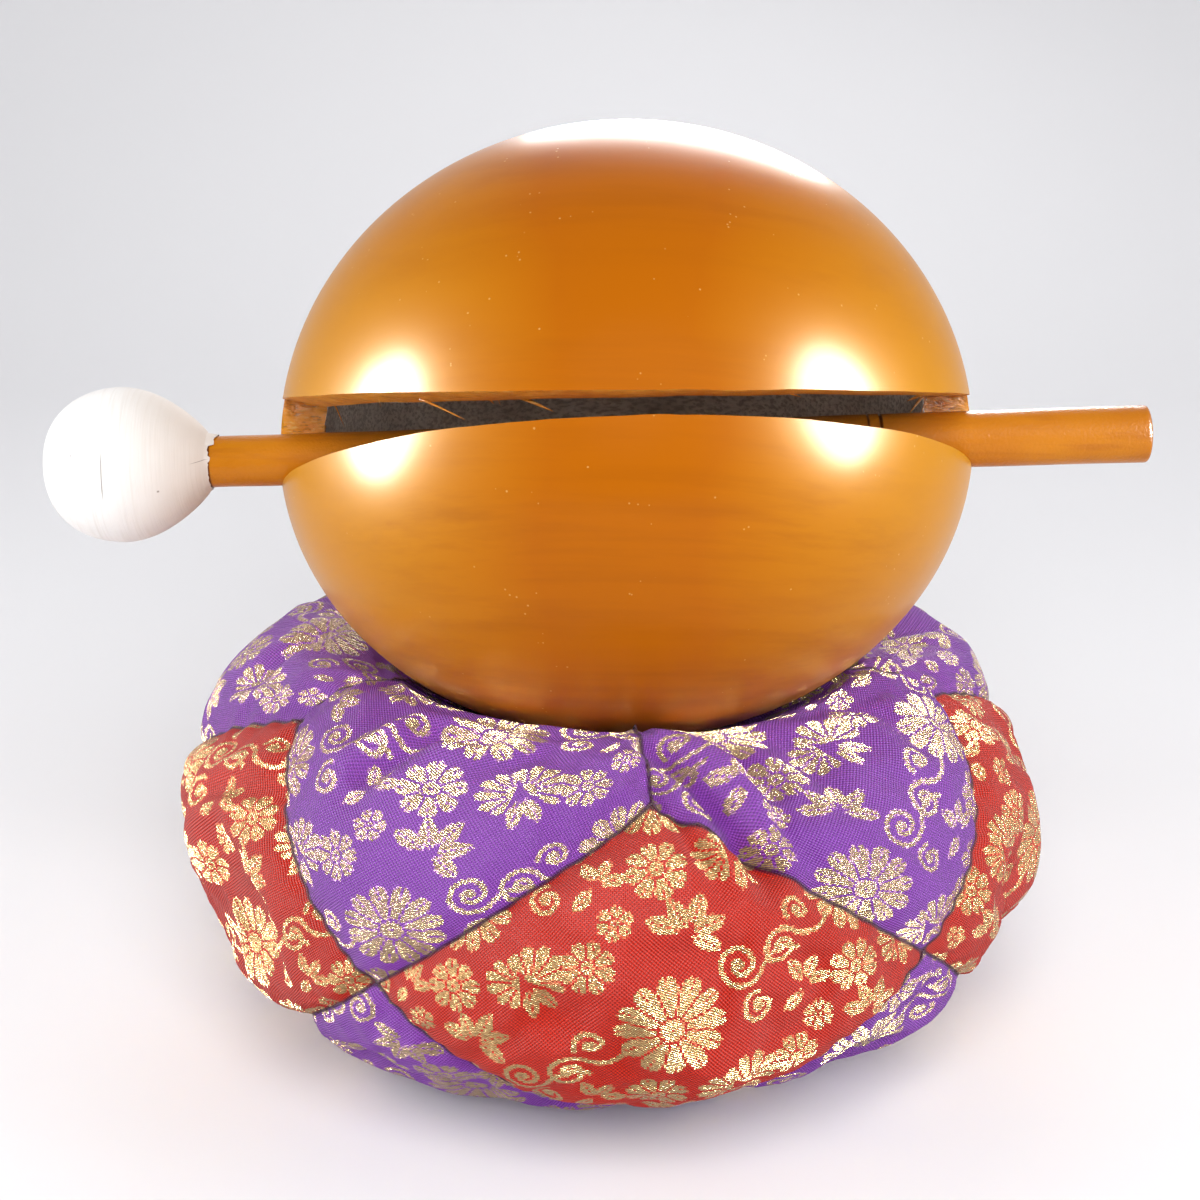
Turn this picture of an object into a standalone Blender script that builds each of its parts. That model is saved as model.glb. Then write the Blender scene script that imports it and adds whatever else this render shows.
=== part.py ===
"""A plain wooden sutra drum (wooden fish): the hollow slit drum, its mallet laid in the mouth, and its cushion.

Metres, +Z up. The origin is the centre of the cushion's underside, +X runs to the mallet's
handle end and -Y is the side that the drum's mouth faces.
"""

import math

import bmesh
import bpy
from mathutils import Matrix, Vector

# Drum: outer sizes, measured in the drum's own directions
DRUM_WIDTH = 0.150
DRUM_UPPER_HEIGHT = 0.0696
DRUM_LOWER_HEIGHT = 0.0641
DRUM_FRONT_DEPTH = 0.071
DRUM_BACK_DEPTH = 0.079
DRUM_BACK_TAPER = 1.85
DRUM_WALL = 0.0095
DRUM_TILT = math.radians(23.0)
DRUM_ROLL = math.radians(2.3)
DRUM_OFFSET_X = 0.0036
DRUM_SINK = 0.0326

# Mouth: a sawn wedge, narrow in front and wide at its end walls
MOUTH_END_HALF_HEIGHT = 0.0094
MOUTH_RISE = 0.0009
MOUTH_FRONT_HALF_HEIGHT = 0.0024
MOUTH_END_DEPTH = 0.0029
MOUTH_FLOOR_ROLL = math.radians(1.5)
MOUTH_CEILING_ROLL = math.radians(0.25)

# Cushion
CUSHION_DIAMETER = 0.197
CUSHION_HALF_HEIGHT = 0.0515
CUSHION_FLATTENING = 0.0045
CUSHION_UPPER_FULLNESS = 2.2
CUSHION_LOWER_FULLNESS = 2.05

# Mallet
MALLET_LENGTH = 0.2360
HANDLE_END_DIAMETER = 0.0123
HANDLE_NECK_DIAMETER = 0.0109
HANDLE_END_ROUNDING = 0.0008
HEAD_DIAMETER = 0.0332
HEAD_LENGTH = 0.0355
HEAD_WIDEST_SHARE = 0.47
HEAD_NECK_RIM = 0.0003
HEAD_NECK_FULLNESS = 0.8
HEAD_END_FULLNESS = 0.9
MALLET_HEAD_REACH = 0.1208
RING_SPACING = 0.0028
RING_PLACE = 0.057
RING_WIDTH = 0.0007
RING_DEPTH = 0.0003

# Clearance between pieces that touch
GAP = 0.0003

# Facets
DRUM_SIDES = 56
DRUM_STEPS = 14
CAVITY_SIDES = 36
CAVITY_STEPS = 9
CUSHION_SIDES = 60
CUSHION_STEPS = 9
MALLET_SIDES = 24
HEAD_STEPS = 9
SMOOTH_LIMIT = math.radians(40.0)

CUSHION_CENTRE_Z = CUSHION_HALF_HEIGHT - CUSHION_FLATTENING
CUSHION_RADIUS = CUSHION_DIAMETER / 2


def remove_everything():
    for item in list(bpy.data.objects):
        bpy.data.objects.remove(item, do_unlink=True)


def material(name, colour, roughness, coat=0.0):
    made = bpy.data.materials.new(name)
    made.use_nodes = True
    shader = made.node_tree.nodes["Principled BSDF"]
    shader.inputs["Base Color"].default_value = (*colour, 1.0)
    shader.inputs["Roughness"].default_value = roughness
    shader.inputs["Metallic"].default_value = 0.0
    shader.inputs["Coat Weight"].default_value = coat
    return made


def place(name, mesh, finish, frame):
    """A named object of this mesh, standing in this frame, shaded smooth across its facets."""
    made = bpy.data.objects.new(name, mesh)
    bpy.context.collection.objects.link(made)
    made.matrix_world = frame
    mesh.materials.append(finish)
    mesh.shade_smooth()
    mesh.set_sharp_from_angle(angle=SMOOTH_LIMIT)
    return made


def closed_rings(name, rings):
    """A closed mesh through these rings of points, each ring one tuple longer than a single point for a pole."""
    mesh = bpy.data.meshes.new(name)
    form = bmesh.new()
    loops = [[form.verts.new(point) for point in ring] for ring in rings]
    for near, far in zip(loops, loops[1:]):
        count = max(len(near), len(far))
        for i in range(count):
            j = (i + 1) % count
            if len(near) == 1:
                corners = (near[0], far[j], far[i])
            elif len(far) == 1:
                corners = (near[i], near[j], far[0])
            else:
                corners = (near[i], near[j], far[j], far[i])
            form.faces.new(corners)
    for end in (loops[0], loops[-1]):
        if len(end) > 1:
            form.faces.new(end)
    bmesh.ops.recalc_face_normals(form, faces=form.faces)
    form.to_mesh(mesh)
    form.free()
    return mesh


def turned(name, outline, sides):
    """A solid turned about X from (along, radius) pairs; a radius of nought is a pole."""
    rings = []
    for along, radius in outline:
        if radius == 0:
            rings.append([(along, 0.0, 0.0)])
            continue
        turns = [math.tau * i / sides for i in range(sides)]
        rings.append([(along, radius * math.cos(a), radius * math.sin(a)) for a in turns])
    return closed_rings(name, rings)


def egg(name, inset, sides, steps):
    """The drum's form, smaller by inset all round. Its +Y runs to the back and its +Z is up."""
    half_width = DRUM_WIDTH / 2 - inset
    upper = DRUM_UPPER_HEIGHT - inset
    lower = DRUM_LOWER_HEIGHT - inset
    front = DRUM_FRONT_DEPTH - inset
    back = DRUM_BACK_DEPTH - inset

    def ring(depth, share):
        points = []
        for i in range(sides):
            turn = math.tau * i / sides
            height = upper if math.sin(turn) > 0 else lower
            points.append((half_width * share * math.cos(turn), depth, height * share * math.sin(turn)))
        return points

    rings = [[(0.0, -front, 0.0)]]
    for i in range(1, steps + 1):
        angle = math.pi / 2 * i / steps
        rings.append(ring(-front * math.cos(angle), math.sin(angle)))
    for i in range(1, steps):
        angle = math.pi / 2 * i / steps
        share = (1 - math.sin(angle) ** DRUM_BACK_TAPER) ** (1 / DRUM_BACK_TAPER)
        rings.append(ring(back * math.sin(angle), share))
    rings.append([(0.0, back, 0.0)])
    return closed_rings(name, rings)


def drum_frame():
    """Where the drum stands: tipped back so that its mouth looks up, and rolled a little."""
    sunk = CUSHION_CENTRE_Z + CUSHION_HALF_HEIGHT - DRUM_SINK
    lowest = math.hypot(DRUM_BACK_DEPTH * math.sin(DRUM_TILT), DRUM_LOWER_HEIGHT * math.cos(DRUM_TILT))
    stand = Matrix.Translation((DRUM_OFFSET_X, 0.0, sunk + lowest))
    return stand @ Matrix.Rotation(-DRUM_TILT, 4, "X") @ Matrix.Rotation(-DRUM_ROLL, 4, "Y")


def mouth_frame(roll):
    """The drum's frame with its own roll taken out and this one put in."""
    return drum_frame() @ Matrix.Rotation(DRUM_ROLL - roll, 4, "Y")


def mouth_height(depth, side):
    """How far the mouth's ceiling (side 1) or floor (side -1) lies off the drum's middle at this depth."""
    share = (depth - MOUTH_END_DEPTH) / (DRUM_FRONT_DEPTH - MOUTH_END_DEPTH)
    half = MOUTH_END_HALF_HEIGHT + share * (MOUTH_FRONT_HALF_HEIGHT - MOUTH_END_HALF_HEIGHT)
    return MOUTH_RISE + side * half


def cutter(name, mesh, frame):
    made = bpy.data.objects.new(name, mesh)
    bpy.context.collection.objects.link(made)
    made.matrix_world = frame
    made.hide_render = True
    made.display_type = "WIRE"
    return made


def subtract(target, tool):
    cut = target.modifiers.new(tool.name, "BOOLEAN")
    cut.operation = "DIFFERENCE"
    cut.object = tool


def mouth_mesh(name):
    """The wedge that the saw took out, in world coordinates, from the end walls to clear of the front."""
    reach_x = DRUM_WIDTH / 2 + DRUM_WALL
    reach_front = DRUM_FRONT_DEPTH + DRUM_WALL
    corners = []
    for x in (-reach_x, reach_x):
        for depth, side in (
            (MOUTH_END_DEPTH, -1),
            (reach_front, -1),
            (reach_front, 1),
            (MOUTH_END_DEPTH, 1),
        ):
            roll = MOUTH_CEILING_ROLL if side > 0 else MOUTH_FLOOR_ROLL
            local = Vector((x, -depth, mouth_height(depth, side)))
            corners.append(mouth_frame(roll) @ local)
    mesh = bpy.data.meshes.new(name)
    form = bmesh.new()
    points = [form.verts.new(corner) for corner in corners]
    near, far = points[:4], points[4:]
    form.faces.new(near)
    form.faces.new(far)
    for i in range(4):
        j = (i + 1) % 4
        form.faces.new((near[i], near[j], far[j], far[i]))
    bmesh.ops.triangulate(form, faces=form.faces)
    bmesh.ops.recalc_face_normals(form, faces=form.faces)
    form.to_mesh(mesh)
    form.free()
    return mesh


def make_drum(lacquer):
    body = place("drum_body", egg("drum_body", 0.0, DRUM_SIDES, DRUM_STEPS), lacquer, drum_frame())
    hollow = egg("hollow", DRUM_WALL, CAVITY_SIDES, CAVITY_STEPS)
    subtract(body, cutter("hollow_cutter", hollow, drum_frame()))
    subtract(body, cutter("mouth_cutter", mouth_mesh("mouth"), Matrix.Identity(4)))
    return body


def make_cushion(brocade):
    """A round stuffed cushion, flat where it stands and dished where the drum sinks in."""

    def rim(height):
        share = abs(height) / CUSHION_HALF_HEIGHT
        fullness = CUSHION_UPPER_FULLNESS if height > 0 else CUSHION_LOWER_FULLNESS
        return CUSHION_RADIUS * (1 - share**fullness) ** (1 / fullness)

    heights = [-CUSHION_CENTRE_Z]
    lowest = math.asin(CUSHION_CENTRE_Z / CUSHION_HALF_HEIGHT)
    for i in range(1, CUSHION_STEPS):
        heights.append(-CUSHION_HALF_HEIGHT * math.sin(lowest * (1 - i / CUSHION_STEPS)))
    for i in range(CUSHION_STEPS):
        heights.append(CUSHION_HALF_HEIGHT * math.sin(math.pi / 2 * i / CUSHION_STEPS))
    rings = []
    for height in heights:
        turns = [math.tau * i / CUSHION_SIDES for i in range(CUSHION_SIDES)]
        radius = rim(height)
        level = CUSHION_CENTRE_Z + height
        rings.append([(radius * math.cos(a), radius * math.sin(a), level) for a in turns])
    rings.append([(0.0, 0.0, CUSHION_CENTRE_Z + CUSHION_HALF_HEIGHT)])
    cushion = place("cushion", closed_rings("cushion", rings), brocade, Matrix.Identity(4))
    dish = egg("dish", -GAP, DRUM_SIDES, DRUM_STEPS)
    subtract(cushion, cutter("dish_cutter", dish, drum_frame()))
    return cushion


def handle_radius(along):
    """The handle's radius at this distance from its neck end."""
    share = along / (MALLET_LENGTH - HEAD_LENGTH)
    return (HANDLE_NECK_DIAMETER + share * (HANDLE_END_DIAMETER - HANDLE_NECK_DIAMETER)) / 2


def mallet_frame():
    """The mallet's own X axis lies along its handle, with the origin at the neck; it touches floor and end walls."""
    slope = math.atan2(
        mouth_height(DRUM_FRONT_DEPTH, -1) - mouth_height(MOUTH_END_DEPTH, -1),
        DRUM_FRONT_DEPTH - MOUTH_END_DEPTH,
    )
    taper = math.atan2(
        (HANDLE_END_DIAMETER - HANDLE_NECK_DIAMETER) / 2,
        MALLET_LENGTH - HEAD_LENGTH,
    )
    neck = HANDLE_NECK_DIAMETER / 2 / math.cos(taper) + GAP
    depth = MOUTH_END_DEPTH + neck
    height = mouth_height(MOUTH_END_DEPTH, -1) + neck * (math.tan(slope) + 1 / math.cos(slope))
    neck_x = HEAD_LENGTH - MALLET_HEAD_REACH - DRUM_OFFSET_X
    lift = taper * (math.tan(slope) + 1 / math.cos(slope))
    seat = Matrix.Translation((neck_x, -depth, height))
    turn = Matrix.Rotation(-taper, 4, "Z") @ Matrix.Rotation(-lift, 4, "Y")
    return mouth_frame(MOUTH_FLOOR_ROLL) @ seat @ turn


def make_handle(lacquer):
    length = MALLET_LENGTH - HEAD_LENGTH
    outline = [(0.0, 0.0), (0.0, handle_radius(0.0))]
    for spacing in (RING_SPACING, 0.0):
        start = length - RING_PLACE - spacing - RING_WIDTH
        for along, depth in (
            (start, 0.0),
            (start, RING_DEPTH),
            (start + RING_WIDTH, RING_DEPTH),
            (start + RING_WIDTH, 0.0),
        ):
            outline.append((along, handle_radius(along) - depth))
    outline.append((length - HANDLE_END_ROUNDING, handle_radius(length)))
    outline.append((length, handle_radius(length) - HANDLE_END_ROUNDING))
    outline.append((length, 0.0))
    place("mallet_handle", turned("mallet_handle", outline, MALLET_SIDES), lacquer, mallet_frame())


def make_head(bare_wood):
    """A turned knob, blunt and round at its far end, tapering to a small rim at the neck."""
    widest = HEAD_LENGTH * HEAD_WIDEST_SHARE
    radius = HEAD_DIAMETER / 2
    neck = HANDLE_NECK_DIAMETER / 2 + HEAD_NECK_RIM
    outline = [(-GAP, 0.0), (-GAP, neck)]
    for i in range(1, HEAD_STEPS + 1):
        share = i / HEAD_STEPS
        swell = math.sin(math.pi / 2 * share) ** HEAD_NECK_FULLNESS
        outline.append((-GAP - (HEAD_LENGTH - widest) * share, neck + (radius - neck) * swell))
    for i in range(1, HEAD_STEPS):
        angle = math.pi / 2 * i / HEAD_STEPS
        bulge = radius * math.cos(angle) ** HEAD_END_FULLNESS
        outline.append((-(HEAD_LENGTH - widest) - widest * math.sin(angle), bulge))
    outline.append((-HEAD_LENGTH, 0.0))
    place("mallet_head", turned("mallet_head", outline, MALLET_SIDES), bare_wood, mallet_frame())


def main():
    remove_everything()
    make_drum(material("drum_lacquer", (0.58, 0.22, 0.02), 0.18, coat=1.0))
    make_cushion(material("brocade", (0.30, 0.06, 0.42), 0.7))
    make_handle(material("handle_lacquer", (0.55, 0.22, 0.03), 0.25, coat=0.6))
    make_head(material("bare_wood", (0.88, 0.86, 0.82), 0.7))
    bpy.context.view_layer.update()


main()
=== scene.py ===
"""The looks of a plain wooden sutra drum with its mallet and its patchwork brocade cushion.

Metres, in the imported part's own frame: the origin is the centre of the cushion's underside,
+X runs to the mallet's handle end, -Y is the side that the drum's mouth faces, +Z is up.
"""

import math

import bmesh
import bpy
from mathutils import Matrix, Vector, noise


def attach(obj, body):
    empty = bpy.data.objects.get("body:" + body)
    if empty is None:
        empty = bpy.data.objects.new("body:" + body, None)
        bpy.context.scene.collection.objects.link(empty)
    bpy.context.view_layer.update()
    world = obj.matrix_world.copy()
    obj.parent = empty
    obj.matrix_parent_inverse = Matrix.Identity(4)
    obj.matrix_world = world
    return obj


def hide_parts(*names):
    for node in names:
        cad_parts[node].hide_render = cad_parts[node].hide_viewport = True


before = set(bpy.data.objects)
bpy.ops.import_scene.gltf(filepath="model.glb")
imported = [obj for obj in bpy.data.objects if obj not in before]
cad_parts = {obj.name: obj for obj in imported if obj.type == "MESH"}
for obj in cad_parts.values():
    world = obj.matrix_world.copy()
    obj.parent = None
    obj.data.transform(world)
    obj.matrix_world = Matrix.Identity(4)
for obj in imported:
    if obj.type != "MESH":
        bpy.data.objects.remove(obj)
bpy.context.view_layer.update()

# Camera, set by the photograph
CAMERA_PITCH = math.radians(21.1)
CAMERA_DISTANCE = 0.515
CAMERA_LENS = 69.0
CAMERA_SENSOR = 36.0
LOOK_AT = Vector((-0.002, 0.0, 0.0963))

# Drum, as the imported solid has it
DRUM_HALF_WIDTH = 0.075
DRUM_UPPER = 0.0696
DRUM_LOWER = 0.0641
DRUM_FRONT = 0.071
DRUM_BACK = 0.079
DRUM_BACK_TAPER = 1.85
DRUM_WALL = 0.0095
GOUGE_DEPTH = 0.018  # as a share of the hollow's radius
DRUM_TILT = math.radians(23.0)
DRUM_ROLL = math.radians(2.3)
DRUM_CENTRE = Vector((0.0036, 0.0, 0.13249))

# Values of the drum's form above or below which a face belongs to its outer or inner skin
OUTER_SKIN = 0.9975
HOLLOW_SKIN = 1.03

# Mouth
MOUTH_END_HALF = 0.0094
MOUTH_RISE = 0.0009
MOUTH_FRONT_HALF = 0.0024
MOUTH_END_DEPTH = 0.0029
MOUTH_FLOOR_ROLL = math.radians(1.5)
MOUTH_CEILING_ROLL = math.radians(0.25)
CEILING_DROP = 0.0022
SAW_WAVE = 0.00022
MOUTH_MARGIN = 0.0012
CHISEL_WAVE = 0.0006
MOUTH_OVERSHOOT = 0.006  # of the cutter past the drum

# Mallet
MALLET_LENGTH = 0.2360
HEAD_LENGTH = 0.0355
HEAD_DIAMETER = 0.0332
HEAD_WIDEST = 0.47
HANDLE_END_DIAMETER = 0.0123
HANDLE_NECK_DIAMETER = 0.0109
HEAD_REACH = 0.1208
RING_PLACE = 0.057
RING_SPACING = 0.0028
RING_WIDTH = 0.0007
RING_DEPTH = 0.0003
MALLET_LEAN = math.sin(math.radians(1.7))  # which the marks on the mallet follow
GAP = 0.0003

# Cushion
CUSHION_RADIUS = 0.0985
CUSHION_HALF = 0.0515
CUSHION_CENTRE = 0.047
UPPER_FULLNESS = 2.2
LOWER_FULLNESS = 2.05
PANELS = 5
FRONT_PANEL_TURN = math.radians(6.5)
PANEL_STEPS = 36
# Radius and height of the three rings of corners where panels meet
UPPER_RING = (0.0750, 0.0365)
MIDDLE_RING = (0.0970, -0.0005)
LOWER_RING = (0.0760, -0.0390)

SMOOTH_LIMIT = math.radians(35.0)


def camera():
    data = bpy.data.cameras.new("camera")
    data.sensor_width = CAMERA_SENSOR
    data.lens = CAMERA_LENS
    made = new_object("camera", data)
    back = Vector((0.0, -math.cos(CAMERA_PITCH), math.sin(CAMERA_PITCH)))
    made.location = LOOK_AT + back * CAMERA_DISTANCE
    made.rotation_euler = (math.pi / 2 - CAMERA_PITCH, 0.0, 0.0)
    bpy.context.scene.camera = made


def new_object(name, data):
    made = bpy.data.objects.new(name, data)
    bpy.context.scene.collection.objects.link(made)
    return made


def mesh_of(name, points, faces):
    mesh = bpy.data.meshes.new(name)
    mesh.from_pydata([tuple(p) for p in points], [], faces)
    mesh.update()
    return mesh


def outwards(mesh):
    form = bmesh.new()
    form.from_mesh(mesh)
    bmesh.ops.recalc_face_normals(form, faces=form.faces)
    form.to_mesh(mesh)
    form.free()


def ring_faces(rings):
    """Faces between rings of point numbers; a ring of one number is a pole."""
    faces = []
    for near, far in zip(rings, rings[1:]):
        count = max(len(near), len(far))
        for i in range(count):
            j = (i + 1) % count
            if len(near) == 1:
                faces.append((near[0], far[j], far[i]))
            elif len(far) == 1:
                faces.append((near[i], near[j], far[0]))
            else:
                faces.append((near[i], near[j], far[j], far[i]))
    return faces


def tube_faces(start, sides, count):
    """Faces of a closed tube of this many rings, whose points are numbered from start on."""
    rings = [list(range(start + i * sides, start + (i + 1) * sides)) for i in range(count)]
    return ring_faces(rings) + [tuple(rings[0]), tuple(rings[-1])]


def math_node(operation):
    """A method that adds one Math node of this operation."""
    return lambda self, *others: self.step(operation, *others)


class Val:
    """A shader value that is reckoned with like a number; each step adds one Math node."""

    def __init__(self, tree, socket):
        self.tree = tree
        self.socket = socket

    def step(self, operation, *others):
        node = self.tree.nodes.new("ShaderNodeMath")
        node.operation = operation
        for slot, value in zip(node.inputs, (self, *others)):
            feed(self.tree, slot, value)
        return Val(self.tree, node.outputs[0])

    __add__ = math_node("ADD")
    __sub__ = math_node("SUBTRACT")
    __mul__ = math_node("MULTIPLY")
    __truediv__ = math_node("DIVIDE")
    abs = math_node("ABSOLUTE")
    floor = math_node("FLOOR")
    fract = math_node("FRACT")
    sin = math_node("SINE")
    power = math_node("POWER")
    higher = math_node("MAXIMUM")

    def __neg__(self):
        return self.step("MULTIPLY", -1.0)

    def over(self, limit, soft):
        """0 below the limit and 1 above it, over a soft edge of this width."""
        node = self.tree.nodes.new("ShaderNodeMapRange")
        feed(self.tree, node.inputs["Value"], self)
        feed(self.tree, node.inputs["From Min"], limit - soft / 2)
        feed(self.tree, node.inputs["From Max"], limit + soft / 2)
        return Val(self.tree, node.outputs[0])


def feed(tree, slot, value):
    if isinstance(value, Val):
        tree.links.new(value.socket, slot)
    elif hasattr(value, "is_output"):
        tree.links.new(value, slot)
    else:
        slot.default_value = value


def polar(radius, angle):
    return radius * math.cos(angle), radius * math.sin(angle)


def hypot(x, y):
    return (x * x + y * y).power(0.5)


def separate(tree, vector):
    node = tree.nodes.new("ShaderNodeSeparateXYZ")
    tree.links.new(vector, node.inputs[0])
    return [Val(tree, out) for out in node.outputs]


def combine(tree, x, y, z=0.0):
    node = tree.nodes.new("ShaderNodeCombineXYZ")
    for slot, value in zip(node.inputs, (x, y, z)):
        feed(tree, slot, value)
    return node.outputs[0]


def textured(tree, kind, vector, **inputs):
    """A texture node's first output, read at this vector."""
    node = tree.nodes.new(kind)
    feed(tree, node.inputs["Vector"], vector)
    for name, value in inputs.items():
        feed(tree, node.inputs[name.replace("_", " ")], value)
    return Val(tree, node.outputs[0])


def mottle(tree, vector, scale, detail, **inputs):
    """Plain noise, read at this vector."""
    return textured(tree, "ShaderNodeTexNoise", vector, Scale=scale, Detail=detail, **inputs)


def stretched(tree, vector, scale):
    node = tree.nodes.new("ShaderNodeVectorMath")
    node.operation = "MULTIPLY"
    feed(tree, node.inputs[0], vector)
    node.inputs[1].default_value = scale
    return node.outputs[0]


def mix_colour(tree, share, first, second):
    node = tree.nodes.new("ShaderNodeMix")
    node.data_type = "RGBA"
    node.clamp_factor = True
    feed(tree, node.inputs["Factor"], share)
    slots = [slot for slot in node.inputs if slot.type == "RGBA"]
    feed(tree, slots[0], first)
    feed(tree, slots[1], second)
    return [out for out in node.outputs if out.type == "RGBA"][0]


def bump(tree, height, distance):
    node = tree.nodes.new("ShaderNodeBump")
    node.inputs["Strength"].default_value = 1.0
    node.inputs["Distance"].default_value = distance
    feed(tree, node.inputs["Height"], height)
    return node.outputs[0]


def new_material(name, **values):
    """A material whose Principled shader has these plain values, with its tree and shader."""
    made = bpy.data.materials.new(name)
    made.use_nodes = True
    tree = made.node_tree
    shader = tree.nodes["Principled BSDF"]
    for key, value in values.items():
        shader.inputs[key.replace("_", " ")].default_value = value
    return made, tree, shader


def wire(tree, shader, **sockets):
    """Feeds shader values into the shader's sockets of these names."""
    for key, value in sockets.items():
        feed(tree, shader.inputs[key.replace("_", " ")], value)


def object_point(tree):
    return tree.nodes.new("ShaderNodeTexCoord").outputs["Object"]


def lacquer_material():
    """Amber lacquer over wood, darker orange in the middle and turned to gold at the sides by painted
    sheen; faint grain, tiny specks.
    """
    made, tree, shader = new_material(
        "drum_lacquer", Roughness=0.36, Coat_Weight=0.34, Coat_Roughness=0.24, Coat_IOR=1.31,
        Specular_IOR_Level=0.09, Specular_Tint=(1.0, 0.60, 0.02, 1),
    )
    point = object_point(tree)
    x, y, z = separate(tree, point)
    side = ((x - DRUM_CENTRE.x) / DRUM_HALF_WIDTH).abs()
    drift = mottle(tree, stretched(tree, point, (1.0, 1.0, 2.4)), 16.0, 2.0)
    # Painted sheen: the base colour turns yellow-gold towards the drum's sides, where the side lights
    # glance off the lacquer.
    painted_side_sheen = (side + (drift - 0.5) * 0.30).over(0.60, 0.80)
    base = mix_colour(tree, painted_side_sheen, (0.39, 0.099, 0.0, 1), (0.58, 0.240, 0.0, 1))
    bend = mottle(tree, point, 9.0, 1.0)
    rings = combine(tree, x * 0.05, y * 0.35, z + x * x * 3.0 + bend * 0.010)
    grain = mottle(tree, rings, 240.0, 4.0, Roughness=0.62)
    wide = mottle(tree, rings, 46.0, 3.0)
    dark = grain.over(0.56, 0.26) * wide.over(0.50, 0.30) * (-side).over(-0.62, 0.5)
    base = mix_colour(tree, dark * 0.55, base, (0.24, 0.055, 0.002, 1))
    speck = textured(tree, "ShaderNodeTexVoronoi", point, Scale=520.0)
    few = mottle(tree, point, 150.0, 0.0).over(0.66, 0.02)
    speck = (-speck).over(-0.11, 0.05) * few
    base = mix_colour(tree, speck * 0.35, base, (0.80, 0.52, 0.16, 1))
    ripple = mottle(tree, point, 60.0, 2.0)
    normal = bump(tree, ripple + speck * 0.5, 0.00006)
    wire(tree, shader, Base_Color=base, Normal=normal, Coat_Normal=bump(tree, ripple, 0.00004))
    return made


def inside_material():
    """Greyed bare wood of the hollow, mottled by the gouge; it stays dark for want of light."""
    made, tree, shader = new_material("drum_inside", Roughness=0.85, Specular_IOR_Level=0.10)
    point = object_point(tree)
    fine = mottle(tree, stretched(tree, point, (1.0, 3.0, 3.0)), 420.0, 5.0)
    broad = mottle(tree, point, 50.0, 3.0)
    base = mix_colour(tree, broad.over(0.5, 0.4), (0.70, 0.615, 0.54, 1), (1.0, 0.92, 0.84, 1))
    base = mix_colour(tree, fine.over(0.52, 0.16) * 0.6, base, (0.38, 0.32, 0.27, 1))
    wire(tree, shader, Base_Color=base, Normal=bump(tree, fine, 0.0006))
    return made


def raw_edge_material():
    """The saw's and chisel's cut: torn amber wood with pale fibres."""
    made, tree, shader = new_material(
        "raw_edge", Roughness=0.5, Coat_Weight=0.10, Coat_Roughness=0.25, Specular_IOR_Level=0.15
    )
    point = object_point(tree)
    fibre = mottle(tree, stretched(tree, point, (1.0, 6.0, 5.0)), 330.0, 5.0)
    broad = mottle(tree, point, 120.0, 2.0)
    base = mix_colour(tree, broad.over(0.5, 0.3), (0.72, 0.235, 0.008, 1), (0.88, 0.370, 0.022, 1))
    base = mix_colour(tree, fibre.over(0.60, 0.12) * 0.6, base, (0.90, 0.56, 0.16, 1))
    base = mix_colour(tree, (-fibre).over(-0.38, 0.10) * 0.55, base, (0.16, 0.040, 0.004, 1))
    wire(tree, shader, Base_Color=base, Normal=bump(tree, fibre, 0.0009))
    return made


def handle_material():
    """Thinner lacquer on the handle, with painted shade as dark lines at the neck and in the grooves."""
    made, tree, shader = new_material(
        "handle_lacquer", Roughness=0.34, Coat_Weight=0.25, Coat_Roughness=0.17, Coat_IOR=1.4,
        Specular_IOR_Level=0.12,
    )
    point = object_point(tree)
    long = stretched(tree, point, (0.12, 1.0, 1.0))
    grain = mottle(tree, long, 520.0, 4.0)
    blotch = mottle(tree, point, 45.0, 2.0)
    base = mix_colour(tree, blotch.over(0.5, 0.5), (0.42, 0.125, 0.002, 1), (0.54, 0.190, 0.004, 1))
    base = mix_colour(tree, grain.over(0.62, 0.2) * 0.4, base, (0.33, 0.09, 0.006, 1))
    x, _, z = separate(tree, point)
    along = x + z * MALLET_LEAN
    length = MALLET_LENGTH - HEAD_LENGTH
    # Painted shade: dark lines in the gap under the knob's rim at the neck and along the two ring grooves.
    for place, width in (
        (-0.0001, 0.00045),
        (length - RING_PLACE - RING_WIDTH / 2, RING_WIDTH * 0.5),
        (length - RING_PLACE - RING_SPACING - RING_WIDTH * 0.3, RING_WIDTH * 0.35),
    ):
        spot = mallet_stand() @ Vector((place, 0.0, 0.0))
        centre = spot.x + spot.z * MALLET_LEAN
        line = (-((along - centre).abs())).over(-width, 0.00025)
        base = mix_colour(tree, line * 0.85, base, (0.075, 0.014, 0.002, 1))
    grit = mottle(tree, point, 1500.0, 2.0)
    wire(tree, shader, Base_Color=base, Normal=bump(tree, grit, 0.00012))
    wire(tree, shader, Coat_Normal=bump(tree, grit + blotch, 0.00010))
    return made


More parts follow.
